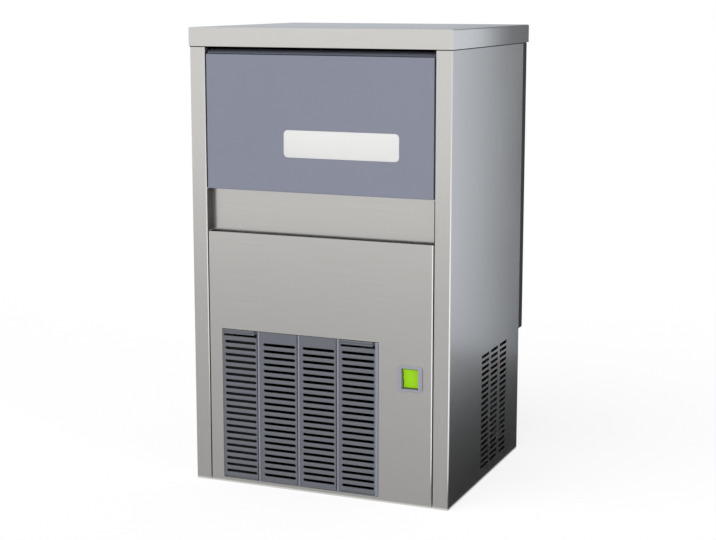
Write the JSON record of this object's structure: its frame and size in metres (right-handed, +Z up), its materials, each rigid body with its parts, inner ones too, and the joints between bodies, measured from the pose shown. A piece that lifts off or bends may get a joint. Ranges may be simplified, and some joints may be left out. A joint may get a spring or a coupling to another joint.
{
  "type": "ice cube machine",
  "caption": "Under-counter ice cube machine: folded stainless cabinet with a top-hinged bin door, a louvred tilt-out front grille, a rocker switch and an insulated bin",
  "frame": {"origin": "centre of the outer box's bottom, on the floor", "axes": "+X to the right seen from the front, +Y to the back, +Z up; the door faces -Y"},
  "size_m": [0.389, 0.348, 0.65],
  "materials": {
    "stainless_sheet": "brushed",
    "zinc_steel": "satin",
    "grey_plastic": "satin",
    "white_plastic": "satin",
    "label_plate": "smooth",
    "black_plastic": "satin",
    "foam": "matte",
    "copper_tube": "satin",
    "aluminium_fin": "satin",
    "black_steel": "satin",
    "rubber": "matte",
    "lime_rocker": "translucent look"
  },
  "bodies": {
    "cabinet": {"top_lid": "stainless_sheet", "side_panel_right": "stainless_sheet", "side_panel_left": "stainless_sheet", "front_panel": "stainless_sheet", "apron": "stainless_sheet", "base_pan": "zinc_steel", "foot_inserts": "zinc_steel", "rear_panel": "zinc_steel", "panel_screws": "zinc_steel", "bin_bar": "zinc_steel", "hinge_pins": "zinc_steel", "condenser_frame": "zinc_steel", "fan_shroud": "zinc_steel", "fan_bracket": "zinc_steel", "curtain_rod": "zinc_steel", "switch_housing": "grey_plastic", "bin_liner": "white_plastic", "water_tank": "white_plastic", "evaporator_frame": "white_plastic", "spray_bar": "white_plastic", "ice_chute": "white_plastic", "drain_pipe": "white_plastic", "inlet_pipe": "white_plastic", "inlet_valve": "white_plastic", "rear_shell": "black_plastic", "hinge_blocks": "black_plastic", "water_pump": "black_plastic", "cable_gland": "black_plastic", "control_box": "black_plastic", "bin_insulation": "foam", "lid_insulation": "foam", "condenser_coil": "copper_tube", "discharge_pipe": "copper_tube", "suction_pipe": "copper_tube", "condenser_outlet": "copper_tube", "filter_drier": "copper_tube", "liquid_pipe": "copper_tube", "evaporator": "copper_tube", "evaporator_coil": "copper_tube", "condenser_fins": "aluminium_fin", "fan_motor": "black_steel", "compressor": "black_steel", "compressor_grommets": "rubber"},
    "door": {"door_outer": "grey_plastic", "door_inner": "white_plastic", "door_label": "label_plate", "door_bumpers": "rubber"},
    "grille": {"grille": "grey_plastic", "air_filter": "black_plastic"},
    "latch_left": {"grille_latch_left": "grey_plastic"},
    "latch_right": {"grille_latch_right": "grey_plastic"},
    "rocker": {"switch_rocker": "lime_rocker"},
    "fan": {"fan_blades": "black_plastic", "fan_shaft": "zinc_steel"},
    "flap_1": {"curtain_flap_1": "white_plastic"},
    "flap_2": {"curtain_flap_2": "white_plastic"},
    "flap_3": {"curtain_flap_3": "white_plastic"},
    "flap_4": {"curtain_flap_4": "white_plastic"}
  },
  "joints": [
    {"name": "door_hinge", "type": "hinge", "parent": "cabinet", "child": "door", "pos_m": [0, -0.152, 0.5975], "axis": [-1, 0, 0], "range_deg": [0, 85]},
    {"name": "grille_tilt", "type": "hinge", "parent": "cabinet", "child": "grille", "pos_m": [0, -0.1706, 0.006], "axis": [1, 0, 0], "range_deg": [0, 30]},
    {"name": "latch_left_slide", "type": "slide", "parent": "grille", "child": "latch_left", "axis": [0, 0, -1], "range_m": [0, 0.0018], "stiffness_N_per_m": 600},
    {"name": "latch_right_slide", "type": "slide", "parent": "grille", "child": "latch_right", "axis": [0, 0, -1], "range_m": [0, 0.0018], "stiffness_N_per_m": 600},
    {"name": "rocker_switch", "type": "hinge", "parent": "cabinet", "child": "rocker", "pos_m": [0.137, -0.167, 0.1793], "axis": [-1, 0, 0], "range_deg": [0, 14]},
    {"name": "fan_spin", "type": "hinge", "parent": "cabinet", "child": "fan", "pos_m": [-0.04, -0.102, 0.118], "axis": [0, 1, 0], "continuous": true},
    {"name": "flap_1_swing", "type": "hinge", "parent": "cabinet", "child": "flap_1", "pos_m": [0, -0.01, 0.6], "axis": [-1, 0, 0], "range_deg": [0, 60]},
    {"name": "flap_2_swing", "type": "hinge", "parent": "cabinet", "child": "flap_2", "pos_m": [0, -0.01, 0.6], "axis": [-1, 0, 0], "range_deg": [0, 60]},
    {"name": "flap_3_swing", "type": "hinge", "parent": "cabinet", "child": "flap_3", "pos_m": [0, -0.01, 0.6], "axis": [-1, 0, 0], "range_deg": [0, 60]},
    {"name": "flap_4_swing", "type": "hinge", "parent": "cabinet", "child": "flap_4", "pos_m": [0, -0.01, 0.6], "axis": [-1, 0, 0], "range_deg": [0, 60]}
  ]
}
